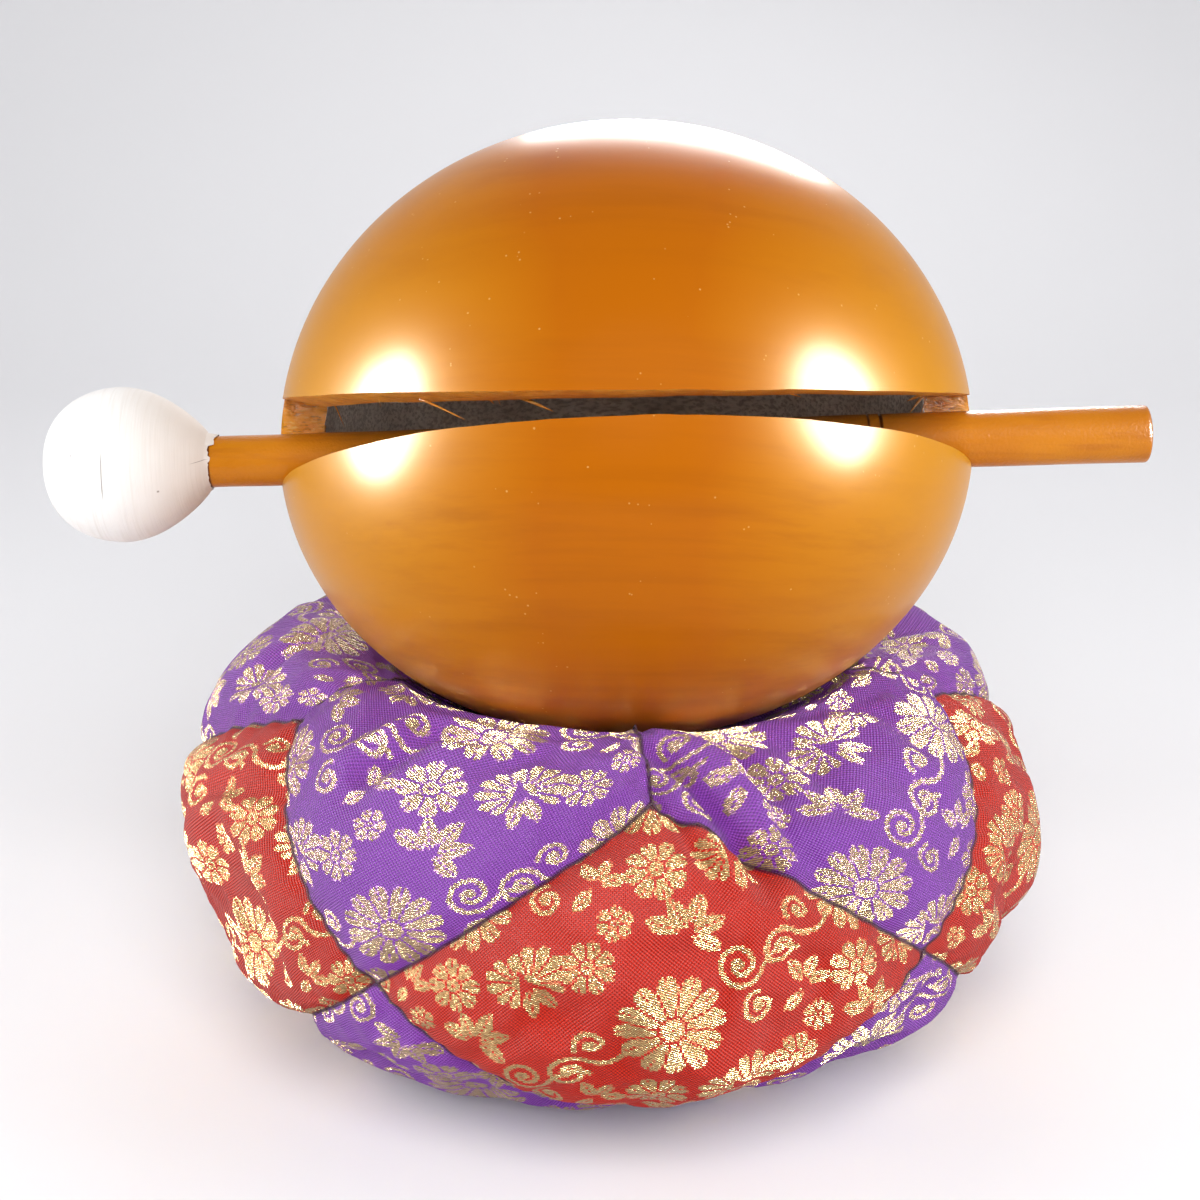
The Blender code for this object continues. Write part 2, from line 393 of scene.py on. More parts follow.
def bare_wood_material():
    """Whitened turned wood, darkened and warmer to the neck by painted shade, with fine rings, a hairline
    crack and specks.
    """
    made, tree, shader = new_material(
        "bare_wood", Roughness=0.72, Sheen_Weight=0.10, Specular_IOR_Level=0.10
    )
    point = object_point(tree)
    x, y, z = separate(tree, point)
    along = x + z * MALLET_LEAN
    lines = combine(tree, along, y * 0.03, z * 0.03)
    turning = mottle(tree, lines, 1500.0, 3.0)
    soft = mottle(tree, point, 60.0, 2.0)
    base = mix_colour(tree, soft.over(0.55, 0.5), (0.84, 0.825, 0.805, 1), (0.79, 0.760, 0.735, 1))
    # Painted shade: the wood grows darker and warmer towards the neck.
    painted_neck_shade = x.over(-0.0955, 0.018) * (soft * 0.6 + 0.4)
    base = mix_colour(tree, painted_neck_shade, base, (0.55, 0.465, 0.40, 1))
    base = mix_colour(tree, turning.over(0.60, 0.2) * 0.35, base, (0.66, 0.61, 0.56, 1))
    mallet = mallet_stand()
    for place, width, height in (
        ((-0.0202, 0.0, 0.0028), 0.00013, 0.0044),
        ((-0.0268, 0.0, 0.0070), 0.00014, 0.0002),
        ((-0.0093, 0.0, -0.0020), 0.00020, 0.0002),
        ((-0.0014, 0.0, 0.0026), 0.00130, 0.00006),
    ):
        spot = mallet @ Vector(place)
        line = (-((x - spot.x).abs())).over(-width, width)
        line = line * (-((z - spot.z).abs())).over(-height, height * 0.6)
        front = (-y).over(-spot.y, 0.002)
        base = mix_colour(tree, line * front * 0.75, base, (0.16, 0.12, 0.10, 1))
    wire(tree, shader, Base_Color=base, Normal=bump(tree, turning, 0.00012))
    return made


def turned_by(x, y, angle):
    """This point's place along and across a direction at this angle."""
    c, s = polar(1.0, angle)
    return x * c + y * s, y * c - x * s


class Cloth:
    """Flat pattern coordinates of the brocade, and the motifs woven into it, in metres."""

    SOFT = 0.00016
    LINE = 0.00048
    THREAD = 0.00046
    PITCH = (0.0365, 0.0450)

    def __init__(self, tree):
        self.tree = tree
        node = tree.nodes.new("ShaderNodeUVMap")
        node.uv_map = "cut"
        self.u, self.v, _ = separate(tree, node.outputs[0])
        self.pu = (self.u / self.THREAD).floor() * self.THREAD
        self.pv = (self.v / self.THREAD).floor() * self.THREAD

    def cell(self, centre_u, centre_v, angle=0.0):
        """Place about this centre in a half-drop repeat, and a number that differs each time."""
        pitch_u, pitch_v = self.PITCH
        across = self.pu / pitch_u + (0.5 - centre_u / pitch_u)
        column = across.floor()
        down = self.pv / pitch_v + (0.5 - centre_v / pitch_v) + column * 0.5
        row = down.floor()
        local_u = (across - column - 0.5) * pitch_u
        local_v = (down - row - 0.5) * pitch_v
        node = self.tree.nodes.new("ShaderNodeTexWhiteNoise")
        node.noise_dimensions = "2D"
        feed(self.tree, node.inputs["Vector"], combine(self.tree, column, row))
        chance = Val(self.tree, node.outputs["Value"])
        if angle:
            local_u, local_v = turned_by(local_u, local_v, angle)
        return local_u, local_v, chance

    def flower(self, place, radius, petals, heart=0.20):
        """A round flower of split petals about a small disc."""
        x, y, chance = place
        r = hypot(x, y)
        turn = y.step("ARCTAN2", x) / math.tau + chance
        off = ((turn * petals).fract() - 0.5).abs()
        width = r * (math.tau / petals)
        outline = (off * off * off * (-2.6) + 1.0) * radius
        shape = (outline - r).over(0.0, self.SOFT)
        gap = ((-off + 0.5) * width).over(0.00022, self.SOFT)
        split = (off * width).over(0.00015, self.SOFT)
        split = split.higher((-r).over(-0.70 * radius, self.SOFT))
        ring = (r - radius * (heart + 0.05)).abs().over(0.00020, self.SOFT)
        heart_disc = (-r).over(-radius * heart, self.SOFT)
        dot = r.over(0.00035, self.SOFT)
        return (shape * gap * split * ring).higher(heart_disc * dot)

    def curl(self, place, pitch, hand, turns, reach=0.0):
        """A tendril wound in a spiral from a round tip; reach bends its tail the other way."""
        x, y, _ = place
        r = hypot(x, y)
        turn = y.step("ARCTAN2", x) * (hand / math.tau)
        coil = (r / pitch - turn + 0.5).floor()
        arm = (r - (turn + coil) * pitch).abs()
        line = (-arm).over(-self.LINE, self.SOFT)
        within = (-(coil + turn)).over(-turns, 0.02)
        tip = (-r).over(-0.00085, self.SOFT)
        drawn = (line * within).higher(tip)
        if reach:
            end = hand * math.tau * turns
            out = pitch * turns + reach
            middle = end + math.pi - hand * 0.9
            drawn = drawn.higher(self.stem(place, polar(out, end), reach, middle, 0.9))
        return drawn

    def leaf(self, place, centre, angle, length, width):
        """A pointed leaf with a vein left open along its middle."""
        x, y, _ = place
        a, b = turned_by(x - centre[0], y - centre[1], angle)
        share = (a / (length / 2)).abs()
        half = (-(share * share) + 1.0) * (width / 2)
        shape = (half - b.abs()).over(0.0, self.SOFT) * (-share).over(-1.0, 0.01)
        vein = b.abs().over(0.00012, self.SOFT)
        return shape * vein

    def stem(self, place, centre, radius, middle, half):
        """An arc of thread about a centre, half this many radians to each side of its middle."""
        x, y, _ = place
        a, b = turned_by(x - centre[0], y - centre[1], middle)
        ring = (-((hypot(a, b) - radius).abs())).over(-self.LINE, self.SOFT)
        return ring * (-(b.step("ARCTAN2", a).abs())).over(-half, 0.02)

    def fan(self, place, centre, angle, radius, petals):
        """A flower seen from its side: petals over less than half a turn."""
        x, y, _ = place
        a, b = turned_by(x - centre[0], y - centre[1], angle)
        r = hypot(a, b)
        turn = b.step("ARCTAN2", a) / math.tau
        spread = turn.abs() / 0.235
        off = ((turn * petals).fract() - 0.5).abs()
        outline = ((off * off * off * (-2.4) + 1.0) - spread * spread * 0.25) * radius
        shape = (outline - r).over(0.0, self.SOFT) * (-spread).over(-1.0, 0.03)
        gap = ((-off + 0.5) * r * (math.tau / petals)).over(0.00024, self.SOFT)
        return shape * gap.higher((-r).over(-radius * 0.22, self.SOFT))

    def motifs(self):
        """All gold on the cloth: 1 where gold thread lies on top."""
        gold = self.flower(self.cell(0.0, 0.0), 0.0094, 12)
        for centre, radius, petals in (
            ((-0.0015, -0.0168), 0.0056, 8),
            ((-0.0135, 0.0115), 0.0047, 8),
            ((-0.0088, 0.0190), 0.0031, 6),
        ):
            gold = gold.higher(self.flower(self.cell(*centre), radius, petals, 0.23))
        for centre, pitch, hand, turns, reach in (
            ((0.0118, 0.0098), 0.0022, 1.0, 1.95, 0.0052),
            ((0.0158, 0.0012), 0.0019, -1.0, 1.75, 0.0),
            ((-0.0168, -0.0105), 0.0021, -1.0, 1.85, 0.0048),
            ((-0.0132, -0.0034), 0.0018, 1.0, 1.60, 0.0),
        ):
            gold = gold.higher(self.curl(self.cell(*centre), pitch, hand, turns, reach))
        wings = self.cell(0.0126, -0.0146, 0.5)
        gold = gold.higher(self.fan(wings, (0.0010, 0.0), 0.5, 0.0072, 13))
        gold = gold.higher(self.fan(wings, (-0.0010, 0.0006), 2.7, 0.0062, 12))
        for angle in (-1.9, -1.25):
            gold = gold.higher(self.leaf(wings, polar(0.0044, angle), angle, 0.0062, 0.0026))
        sprig = self.cell(0.0030, 0.0168)
        for i, angle in enumerate((0.35, 1.15, 2.0, 2.8, -0.6)):
            reach = 0.0038 + 0.0006 * (i % 2)
            gold = gold.higher(self.leaf(sprig, polar(reach, angle), angle, 0.0062, 0.0031))
        spray = self.cell(-0.0122, -0.0190)
        for angle in (0.2, 1.1, 2.0, -2.2):
            gold = gold.higher(self.leaf(spray, polar(0.0034, angle), angle, 0.0052, 0.0026))
        return gold


def brocade_material(name, ground, dark_weave_and_shade):
    """Ribbed cloth of one ground colour with flowers, tendrils and leaves in gold thread; the weave
    carries painted shade and the gold painted light and shade.
    """
    made, tree, shader = new_material(
        name, Sheen_Weight=0.04, Sheen_Roughness=0.4, Specular_IOR_Level=0.06
    )
    cloth = Cloth(tree)
    gold = cloth.motifs()
    rib = 0.00072
    across = (cloth.u * (math.tau / rib)).sin()
    down = (cloth.v * (math.tau / rib)).sin()
    weave = across * down * 0.5 + 0.5
    twill = ((cloth.u * 0.8 + cloth.v * 1.6) * (math.tau / rib)).sin() * 0.5 + 0.5
    point = object_point(tree)
    patchy = mottle(tree, point, 70.0, 3.0)
    thread = mottle(tree, combine(tree, cloth.u, cloth.v * 3.0), 1100.0, 2.0)
    # The weave's dark colour is partly the threads' own darker tone and partly painted shade between the
    # ribs.
    colour = mix_colour(tree, weave * 0.90 + patchy * 0.30, dark_weave_and_shade, ground)
    # Painted light and shade on the gold: its colour runs from brown to bright gold along the twill floats
    # and the thread's noise.
    painted_float_light = twill * 0.6 + (thread - 0.5) * 1.9 + 0.20
    metal = mix_colour(tree, painted_float_light, (0.19, 0.110, 0.030, 1), (0.62, 0.490, 0.220, 1))
    seam = tree.nodes.new("ShaderNodeAttribute")
    seam.attribute_name = "seam"
    near = (-Val(tree, seam.outputs["Fac"])).over(-SEAM_SHADE, SEAM_SHADE)
    bare = twill.over(0.13, 0.10)
    gold = gold * (bare * 0.55 + 0.45)
    colour = mix_colour(tree, gold, colour, metal)
    colour = mix_colour(tree, near * 0.85, colour, (0.045, 0.010, 0.030, 1))
    shine = gold * (-near + 1.0)
    wire(tree, shader, Base_Color=colour, Metallic=shine * 0.42, Roughness=shine * (-0.40) + 0.64)
    plain = bump(tree, weave + thread * 0.4, 0.00030)
    raised = bump(tree, twill * 0.7 + thread * 2.6, 0.00030)
    wire(tree, shader, Normal=mix_colour(tree, gold, plain, raised))
    return made


def egg_points(inset, sides, steps):
    """Rings of the drum's form, smaller by inset; +Y runs to its back, +Z is its upper side."""
    half_width = DRUM_HALF_WIDTH - inset
    front = DRUM_FRONT - inset
    back = DRUM_BACK - inset

    def ring(depth, share):
        points = []
        for i in range(sides):
            turn = math.tau * i / sides
            height = (DRUM_UPPER if math.sin(turn) > 0 else DRUM_LOWER) - inset
            points.append((half_width * share * math.cos(turn), depth, height * share * math.sin(turn)))
        return points

    rings = [[(0.0, -front, 0.0)]]
    for i in range(1, steps + 1):
        angle = math.pi / 2 * i / steps
        rings.append(ring(-front * math.cos(angle), math.sin(angle)))
    for i in range(1, steps):
        angle = math.pi / 2 * i / steps
        share = (1 - math.sin(angle) ** DRUM_BACK_TAPER) ** (1 / DRUM_BACK_TAPER)
        rings.append(ring(back * math.sin(angle), share))
    rings.append([(0.0, back, 0.0)])
    return rings


def rings_mesh(name, rings):
    points = [point for ring in rings for point in ring]
    numbers = []
    start = 0
    for ring in rings:
        numbers.append(list(range(start, start + len(ring))))
        start += len(ring)
    mesh = mesh_of(name, points, ring_faces(numbers))
    outwards(mesh)
    return mesh


def egg_value(local, inset):
    """Under 1 inside the drum's form, 1 on it; local is in the drum's own directions."""
    height = (DRUM_UPPER if local.z > 0 else DRUM_LOWER) - inset
    sideways = math.hypot(local.x / (DRUM_HALF_WIDTH - inset), local.z / height)
    if local.y < 0:
        return math.hypot(sideways, local.y / (DRUM_FRONT - inset))
    power = DRUM_BACK_TAPER
    return (sideways**power + (local.y / (DRUM_BACK - inset)) ** power) ** (1 / power)


DRUM_STAND = (
    Matrix.Translation(DRUM_CENTRE)
    @ Matrix.Rotation(-DRUM_TILT, 4, "X")
    @ Matrix.Rotation(-DRUM_ROLL, 4, "Y")
)
DRUM_LOCAL = DRUM_STAND.inverted()


def mouth_stand(roll):
    return DRUM_STAND @ Matrix.Rotation(DRUM_ROLL - roll, 4, "Y")


def mouth_height(depth, side):
    share = (depth - MOUTH_END_DEPTH) / (DRUM_FRONT - MOUTH_END_DEPTH)
    return MOUTH_RISE + side * (MOUTH_END_HALF + share * (MOUTH_FRONT_HALF - MOUTH_END_HALF))


def ceiling_lean(x):
    """The ceiling's drop at its inner edge, as a share of CEILING_DROP: more to the left."""
    return 0.55 - 0.45 * x / DRUM_HALF_WIDTH


def saw_noise(point, scale, seed):
    return noise.fractal(Vector(point) * scale + Vector((seed, 0.0, 0.0)), 1.0, 2.0, 3)


def mouth_mesh():
    """The sawn wedge as a closed grid whose floor, ceiling and end walls are cut by hand."""
    columns, rows, rises = 220, 90, 22
    reach = DRUM_HALF_WIDTH + MOUTH_OVERSHOOT
    front = DRUM_FRONT + MOUTH_OVERSHOOT

    def place(x, depth, rise):
        """rise is 0 on the floor and 1 on the ceiling."""
        spots = []
        for side, roll in ((-1, MOUTH_FLOOR_ROLL), (1, MOUTH_CEILING_ROLL)):
            height = mouth_height(depth, side)
            if side > 0:
                share = math.hypot(x / DRUM_HALF_WIDTH, depth / DRUM_FRONT)
                inward = min(1.0, max(0.0, (1.0 - share) / 0.13))
                height -= CEILING_DROP * inward * ceiling_lean(x)
            wave = saw_noise((x, depth * 0.4, side), 70.0, 3.0 * side)
            height += side * SAW_WAVE * wave
            spots.append(mouth_stand(roll) @ Vector((x, -depth, height)))
        return spots[0].lerp(spots[1], rise)

    def end_depth(x, rise):
        chisel = saw_noise((x, rise * 0.012, 0.0), 420.0, 9.0)
        chisel += 0.5 * saw_noise((x, rise * 0.02, 0.0), 1100.0, 4.0)
        return MOUTH_END_DEPTH - CHISEL_WAVE * abs(chisel) * min(1.0, abs(x) / 0.05)

    loop = [(j / rows, 0.0) for j in range(rows + 1)]
    loop += [(1.0, k / rises) for k in range(1, rises)]
    loop += [(j / rows, 1.0) for j in range(rows, -1, -1)]
    loop += [(0.0, k / rises) for k in range(rises - 1, 0, -1)]
    points = []
    for i in range(columns + 1):
        x = reach * (2 * i / columns - 1)
        for share, rise in loop:
            start = end_depth(x, rise)
            points.append(place(x, start + (front - start) * share, rise))
    mesh = mesh_of("mouth", points, tube_faces(0, len(loop), columns + 1))
    outwards(mesh)
    return mesh


def cut(target, tool):
    step = target.modifiers.new(tool.name, "BOOLEAN")
    step.operation = "DIFFERENCE"
    step.object = tool


def applied(target):
    """Works the object's modifiers into its mesh."""
    graph = bpy.context.evaluated_depsgraph_get()
    graph.update()
    mesh = bpy.data.meshes.new_from_object(target.evaluated_get(graph))
    target.modifiers.clear()
    target.data = mesh


def make_drum(lacquer, inside, raw):
    """The carved body: smooth and lacquered outside, gouged inside, sawn at the mouth."""
    body = new_object("drum_carved", rings_mesh("drum_carved", egg_points(0.0, 180, 46)))
    body.data.transform(DRUM_STAND)
    hollow_rings = egg_points(DRUM_WALL, 110, 28)
    for ring in hollow_rings:
        for i, point in enumerate(ring):
            gouge = 0.6 * saw_noise(point, 90.0, 1.0) + 0.3 * saw_noise(point, 260.0, 5.0)
            ring[i] = tuple(Vector(point) * (1.0 + GOUGE_DEPTH * gouge))
    hollow = new_object("hollow", rings_mesh("hollow", hollow_rings))
    hollow.data.transform(DRUM_STAND)
    mouth = new_object("mouth", mouth_mesh())
    cut(body, hollow)
    cut(body, mouth)
    applied(body)
    for tool in (hollow, mouth):
        bpy.data.objects.remove(tool)
    mesh = body.data
    mesh.materials.clear()
    for finish in (lacquer, inside, raw):
        mesh.materials.append(finish)
    for face in mesh.polygons:
        local = DRUM_LOCAL @ face.center
        if egg_value(local, 0.0) > OUTER_SKIN:
            face.material_index = 0
        elif egg_value(local, DRUM_WALL) < HOLLOW_SKIN and not near_mouth(local):
            face.material_index = 1
        else:
            face.material_index = 2
    mesh.shade_smooth()
    mesh.set_sharp_from_angle(angle=SMOOTH_LIMIT)
    split_into_triangles(mesh)
    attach(body, "root")
    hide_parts("drum_body")


def split_into_triangles(mesh):
    """Splits the many-sided faces that the cuts leave at the mouth, which an export would fold over."""
    work = bmesh.new()
    work.from_mesh(mesh)
    bmesh.ops.triangulate(work, faces=work.faces[:])
    work.to_mesh(mesh)
    work.free()


def near_mouth(local):
    """Whether a point of the hollow's skin lies on the sawn faces of the mouth."""
    depth = -local.y
    if depth < MOUTH_END_DEPTH - 0.001:
        return False
    low = mouth_height(depth, -1) - MOUTH_MARGIN
    high = mouth_height(depth, 1) + MOUTH_MARGIN
    return low < local.z < high and egg_value(local, DRUM_WALL) > 1.0


def mallet_stand():
    """The mallet's frame: its X axis runs up the handle from the neck."""
    slope = math.atan2(
        mouth_height(DRUM_FRONT, -1) - mouth_height(MOUTH_END_DEPTH, -1), DRUM_FRONT - MOUTH_END_DEPTH
    )
    taper = math.atan2((HANDLE_END_DIAMETER - HANDLE_NECK_DIAMETER) / 2, MALLET_LENGTH - HEAD_LENGTH)
    neck = HANDLE_NECK_DIAMETER / 2 / math.cos(taper) + GAP
    seat = math.tan(slope) + 1 / math.cos(slope)
    height = mouth_height(MOUTH_END_DEPTH, -1) + neck * seat
    neck_x = HEAD_LENGTH - HEAD_REACH - DRUM_CENTRE.x
    place = Matrix.Translation((neck_x, -MOUTH_END_DEPTH - neck, height))
    turn = Matrix.Rotation(-taper, 4, "Z") @ Matrix.Rotation(-taper * seat, 4, "Y")
    return mouth_stand(MOUTH_FLOOR_ROLL) @ place @ turn


def turned_mesh(name, outline, sides, wobble):
    """A form turned about X from (place, radius) pairs, each moved out and along by wobble."""
    rings = []
    for number, (along, radius) in enumerate(outline):
        if radius == 0:
            rings.append([(along, 0.0, 0.0)])
            continue
        ring = []
        for i in range(sides):
            turn = math.tau * i / sides
            more, shift = wobble(number, turn)
            ring.append((along + shift, *polar(radius + more, turn)))
        rings.append(ring)
    return rings_mesh(name, rings)


def mallet_piece(name, mesh, finish):
    """A piece of the mallet, put in its place with its material and its sharp edges."""
    made = new_object(name, mesh)
    mesh.transform(mallet_stand())
    mesh.materials.append(finish)
    mesh.shade_smooth()
    mesh.set_sharp_from_angle(angle=SMOOTH_LIMIT)
    return made


def make_handle(lacquer):
    """A slightly tapered stick with two ring grooves, rounded at its free end."""
    length = MALLET_LENGTH - HEAD_LENGTH

    def radius(along):
        share = along / length
        return (HANDLE_NECK_DIAMETER + share * (HANDLE_END_DIAMETER - HANDLE_NECK_DIAMETER)) / 2

    start = -0.0035
    steps, edge_steps = 56, 6
    outline = [(start, 0.0), (start, radius(0.0)), (0.0, radius(0.0))]
    for step in range(1, 40):
        outline.append((length * step / steps, radius(length * step / steps)))
    for spacing, width in ((RING_SPACING, RING_WIDTH * 0.6), (0.0, RING_WIDTH)):
        groove = length - RING_PLACE - spacing - width
        for share, depth in ((0.0, 0.0), (0.12, 0.9), (0.5, 1.0), (0.88, 0.9), (1.0, 0.0)):
            along = groove + width * share
            outline.append((along, radius(along) - RING_DEPTH * depth))
    outline.sort()
    for step in range(1, 12):
        along = length - RING_PLACE + (RING_PLACE - 0.0012) * step / 11
        outline.append((along, radius(along)))
    edge = 0.0009
    for step in range(1, edge_steps + 1):
        angle = math.pi / 2 * step / edge_steps
        along = length - edge * (1 - math.sin(angle))
        outline.append((along, radius(length) - edge * (1 - math.cos(angle))))
    outline.append((length, 0.0))

    def wobble(number, turn):
        return 0.00004 * math.sin(3 * turn + number), 0.0

    handle = mallet_piece("mallet_stick", turned_mesh("mallet_stick", outline, 72, wobble), lacquer)
    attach(handle, "root")
    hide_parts("mallet_handle")


def make_head(bare):
    """A turned knob; its rim at the neck is chipped and ragged."""
    widest = HEAD_LENGTH * HEAD_WIDEST
    radius = HEAD_DIAMETER / 2
    neck = HANDLE_NECK_DIAMETER / 2 + 0.0003
    inner = -0.004
    outline = [(inner, 0.0)]
    for along, lip in ((inner, 0.00030), (0.0, 0.00038)):
        outline.append((along, HANDLE_NECK_DIAMETER / 2 + lip))
    steps, end_steps = 30, 34
    for i in range(1, steps + 1):
        share = (i / steps) ** 1.25
        swell = math.sin(math.pi / 2 * share) ** 0.8
        outline.append((-GAP - (HEAD_LENGTH - widest) * share, neck + (radius - neck) * swell))
    for i in range(1, end_steps):
        angle = math.pi / 2 * i / end_steps
        along = -(HEAD_LENGTH - widest) - widest * math.sin(angle)
        outline.append((along, radius * math.cos(angle) ** 0.80))
    outline.append((-HEAD_LENGTH, 0.0))

    def wobble(number, turn):
        """Chips the rim, the outline's third point, towards the handle."""
        if number != 2:
            return 0.0, 0.0
        chip = saw_noise((math.cos(turn) * 3.0, math.sin(turn) * 3.0, 0.0), 1.6, 7.0)
        degrees = math.degrees(turn)
        reach = round(chip * 4) / 4 * 0.0003
        if 60 < degrees < 149:
            reach += 0.0016 if degrees < 122 else 0.0012
        elif 174 < degrees < 186:
            reach += 0.0005
        return 0.0, reach

    head = mallet_piece("mallet_knob", turned_mesh("mallet_knob", outline, 96, wobble), bare)
    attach(head, "root")
    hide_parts("mallet_head")


def make_splinters(raw):
    """Torn fibres that hang from the ceiling's inner edge."""
    # Place across, depth, reach across, drop and thickness of each
    fibres = (
        (-0.0410, 0.052, 0.0090, 0.0042, 0.00055),
        (-0.0215, 0.056, 0.0070, 0.0030, 0.00085),
        (-0.0490, 0.050, 0.0003, 0.0016, 0.00045),
        (-0.0255, 0.056, 0.0006, 0.0016, 0.00040),
        (-0.0275, 0.056, 0.0014, 0.0014, 0.00030),
        (0.0300, 0.055, 0.0035, 0.0010, 0.00035),
        (0.0648, 0.0040, -0.0034, 0.0042, 0.00120),
        (0.0652, 0.0060, -0.0022, 0.0066, 0.00100),
        (0.0640, 0.0090, -0.0038, 0.0016, 0.00090),
        (-0.0630, 0.0050, 0.0022, 0.0050, 0.00080),
    )
    points, faces = [], []
    steps, sides = 8, 5
    for across, depth, reach, drop, thick in fibres:
        top = mouth_height(depth, 1) - CEILING_DROP * ceiling_lean(across) + 0.0006
        start = len(points)
        for i in range(steps + 1):
            share = i / steps
            size = thick * (1 - share**2.2) * 0.5 + 0.00003
            x = across + reach * share
            z = top - drop * share**1.1
            for k in range(sides):
                turn = math.tau * k / sides
                spot = Vector((x, -depth + size * 0.6 * math.cos(turn), z + size * math.sin(turn)))
                points.append(mouth_stand(MOUTH_CEILING_ROLL) @ spot)
        faces += tube_faces(start, sides, steps + 1)
    mesh = mesh_of("splinters", points, faces)
    outwards(mesh)
    made = new_object("splinters", mesh)
    mesh.materials.append(raw)
    mesh.shade_smooth()
    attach(made, "root")


def ring_corner(turn, ring):
    radius, height = ring
    return Vector((radius * math.sin(turn), -radius * math.cos(turn), height))


def on_cushion(direction):
    """The stuffed form's surface in this direction from its centre."""
    fullness = UPPER_FULLNESS if direction.z > 0 else LOWER_FULLNESS
    sideways = math.hypot(direction.x, direction.y) / CUSHION_RADIUS
    size = (sideways**fullness + (abs(direction.z) / CUSHION_HALF) ** fullness) ** (1 / fullness)
    return direction / size


def cushion_panels():
    """(colour, four corners) of each of the fifteen panels: five about the top, five round, five below."""
    top = Vector((0.0, 0.0, CUSHION_HALF))
    bottom = Vector((0.0, 0.0, -CUSHION_HALF))
    step = math.tau / PANELS
    panels = []
    for k in range(PANELS):
        turn = FRONT_PANEL_TURN + k * step
        upper = ring_corner(turn, UPPER_RING)
        lower = ring_corner(turn, LOWER_RING)
        left = ring_corner(turn - step / 2, MIDDLE_RING)
        right = ring_corner(turn + step / 2, MIDDLE_RING)
        next_upper = ring_corner(turn + step, UPPER_RING)
        next_lower = ring_corner(turn + step, LOWER_RING)
        panels.append(("red", (upper, left, lower, right)))
        panels.append(("purple", (top, upper, right, next_upper)))
        panels.append(("purple", (bottom, next_lower, right, lower)))
    return panels


PANEL_CUTS = {
    "red": ((0.0, 0.044), (-0.060, 0.0), (0.0, -0.044), (0.060, 0.0)),
    "purple": ((0.0, 0.118), (-0.044, 0.050), (0.0, 0.0), (0.044, 0.050)),
}
EDGE_LENGTH = 0.066
PUFF = 0.0034
BASE_INSET = 0.0022
PUCKER = 0.0007
PUCKER_PITCH = 0.0058
PUCKER_REACH = 0.0055
VALLEY_DEPTH = 0.0014
VALLEY_WIDTH = 0.0030
SEAM_SHADE = 0.0005
PANEL_SHIFT = (0.0137, 0.0211)  # of each panel's cut from the last one's, so that no two match
DRUM_CLEARANCE = 0.0006
DISH_REACH = 0.016
DISH_SINK = 0.0035
SIM_FRAMES = 20
SIM_PRESSURE = 4.0
SIM_GROWTH = 0.035
SIM_MOST_MOVE = 0.006
PINNED_WIDTH = 0.0030
# Creases pressed into the cover: ends as (degrees from the front, height), then depth and width
CREASES = (
    ((9.0, 0.0430), (15.3, 0.0282), 0.0060, 0.0034),
    ((15.3, 0.0282), (20.0, 0.0160), 0.0052, 0.0030),
    ((6.3, 0.0345), (12.6, 0.0205), 0.0030, 0.0026),
    ((21.0, 0.0420), (27.0, 0.0260), 0.0022, 0.0038),
    ((-34.0, 0.0395), (-39.0, 0.0240), 0.0034, 0.0036),
    ((-22.0, 0.0410), (-37.0, 0.0405), 0.0030, 0.0032),
    ((-12.0, 0.0400), (-20.0, 0.0330), 0.0016, 0.0030),
    ((-67.0, 0.0120), (-53.0, 0.0200), 0.0018, 0.0026),
    ((59.0, 0.0400), (55.0, 0.0230), 0.0020, 0.0036),
    ((-3.0, 0.0150), (19.0, 0.0135), 0.0013, 0.0034),
    ((11.0, 0.0205), (14.5, 0.0160), 0.0024, 0.0024),
    ((-6.0, 0.0010), (23.0, -0.0035), 0.0013, 0.0040),
    ((100.0, 0.0390), (108.0, 0.0230), 0.0022, 0.0040),
    ((118.0, 0.0100), (132.0, 0.0120), 0.0014, 0.0034),
    ((152.0, 0.0400), (160.0, 0.0250), 0.0024, 0.0036),
    ((188.0, 0.0380), (196.0, 0.0230), 0.0026, 0.0038),
    ((214.0, 0.0020), (232.0, -0.0010), 0.0014, 0.0036),
    ((246.0, 0.0400), (240.0, 0.0240), 0.0022, 0.0038),
    ((268.0, 0.0390), (276.0, 0.0250), 0.0020, 0.0034),
)


def between(a, b, c, d, s, t):
    """The point at shares s and t of the four-cornered patch a, b, c, d."""
    return (a * (1 - s) + b * s) * (1 - t) + (d * (1 - s) + c * s) * t


def crease_lines():
    lines = []
    for start, end, depth, width in CREASES:
        ends = []
        for turn, height in (start, end):
            angle = math.radians(turn)
            ends.append(on_cushion(Vector((math.sin(angle) * 0.06, -math.cos(angle) * 0.06, height))))
        lines.append((ends[0], ends[1], depth, width))
    return lines


